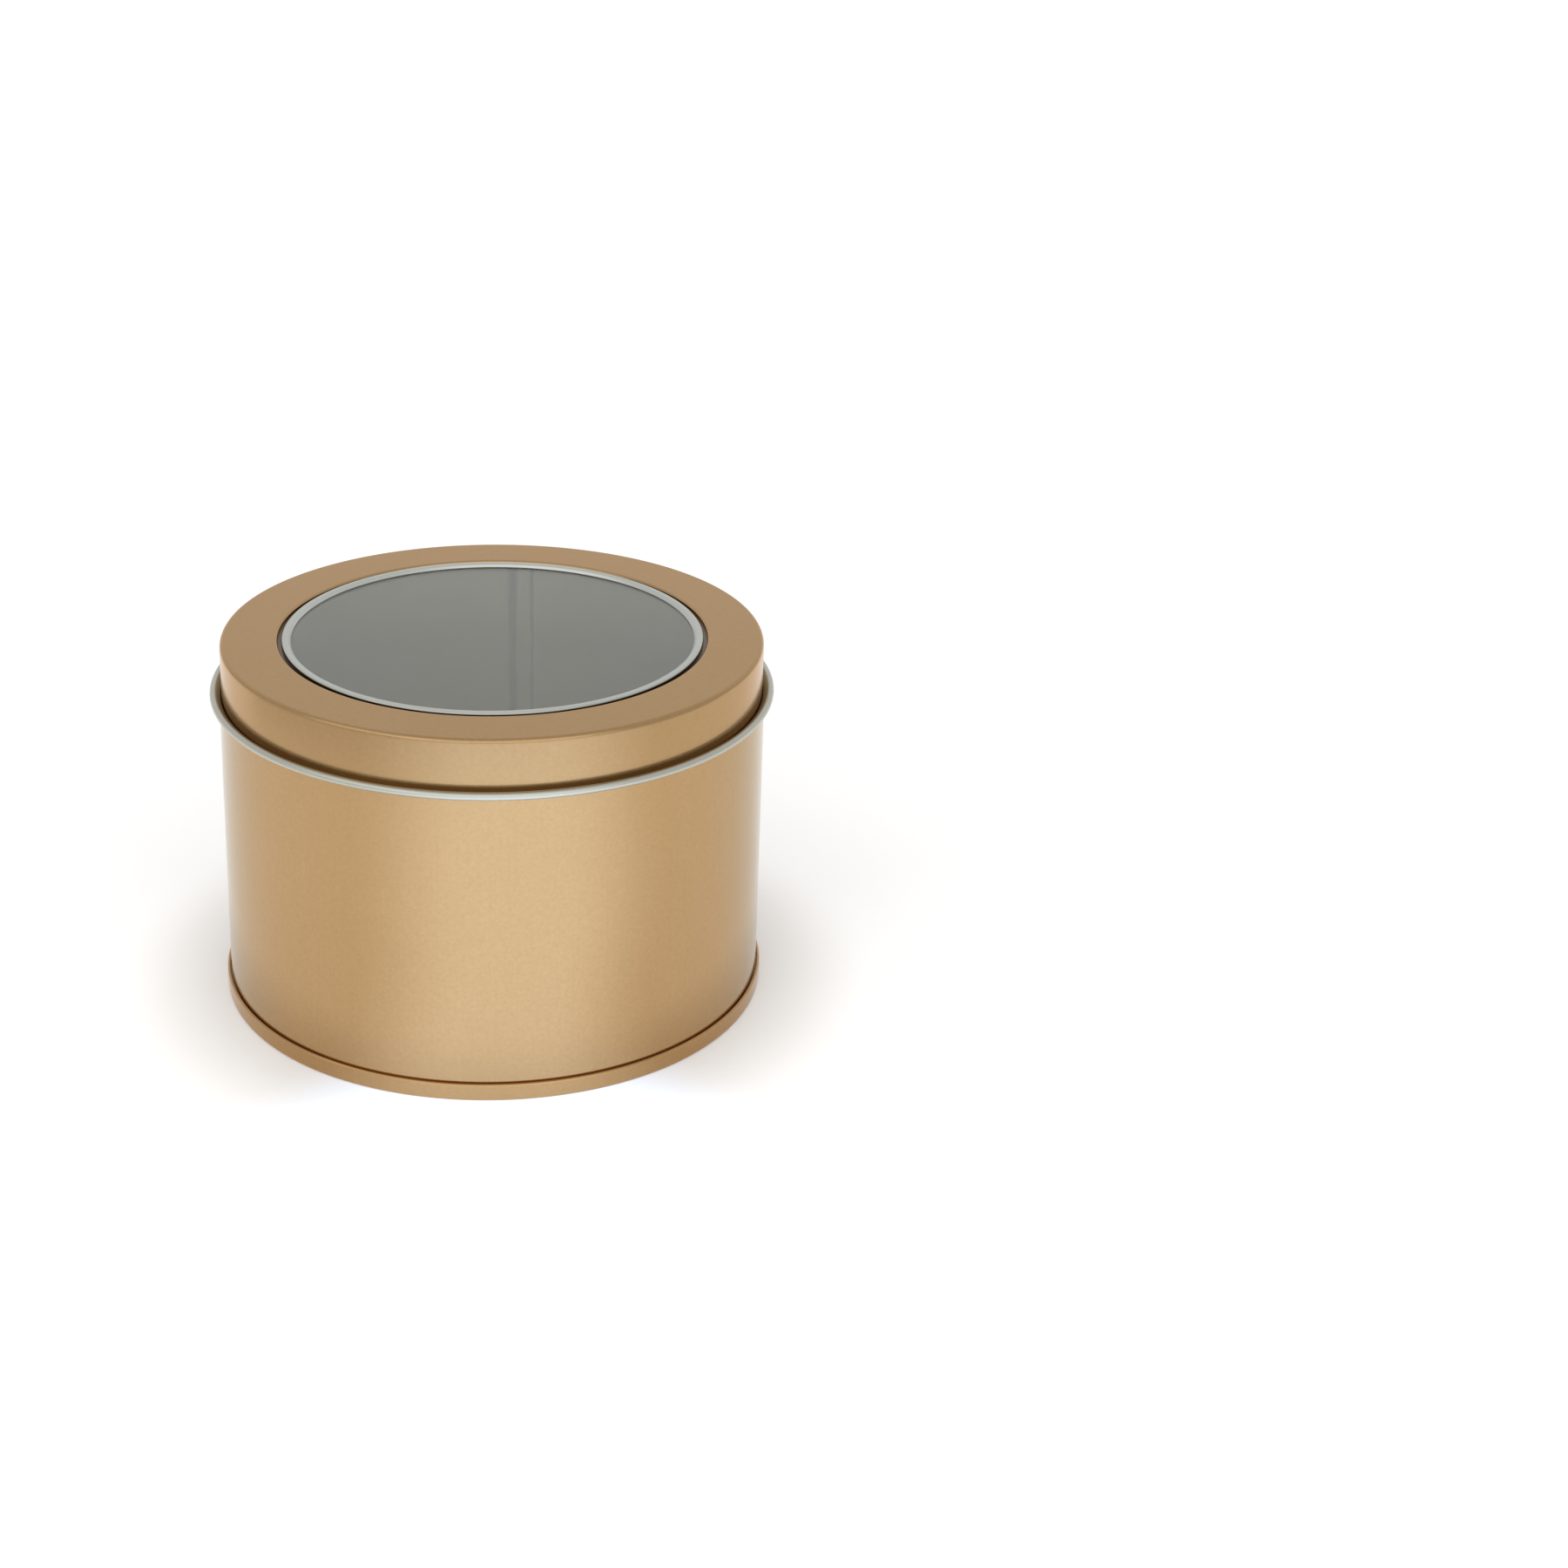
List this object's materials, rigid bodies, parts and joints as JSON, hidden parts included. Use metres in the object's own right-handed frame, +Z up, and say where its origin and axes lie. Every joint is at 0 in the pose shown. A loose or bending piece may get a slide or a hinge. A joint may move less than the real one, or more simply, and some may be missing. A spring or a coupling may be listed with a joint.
{
  "type": "window lid tin",
  "caption": "Round keepsake tin with a lacquered wall, curled bare top edge, lined neck, rolled base rim and a slip lid with a ringed clear window.",
  "frame": {"origin": "centre of the base at the plane the rolled rim stands on", "axes": "+Z up along the tin's axis towards the lid; -Y is the front and the side seams are at the back, close to +Y"},
  "size_m": [0.0786, 0.0786, 0.052],
  "materials": {
    "copper_lacquer": "metallic lacquer with a clear gloss coat",
    "lid_lacquer": "metallic lacquer with a clear gloss coat",
    "base_lacquer": "metallic lacquer with a clear gloss coat",
    "bare_tinplate": "satin bare tinplate",
    "ring_tinplate": "bright bare tinplate",
    "clear_pane": "clear glossy plastic sheet"
  },
  "bodies": {
    "tin": {"outer_wall": "copper_lacquer", "inner_liner": "bare_tinplate", "base_end": "base_lacquer"},
    "lid": {"lid_shell": "lid_lacquer", "window_ring": "ring_tinplate", "window_pane": "clear_pane"}
  },
  "joints": [
    {"name": "lid_lift", "type": "slide", "parent": "tin", "child": "lid", "axis": [0, 0, 1], "range_m": [0, 0.06]}
  ]
}
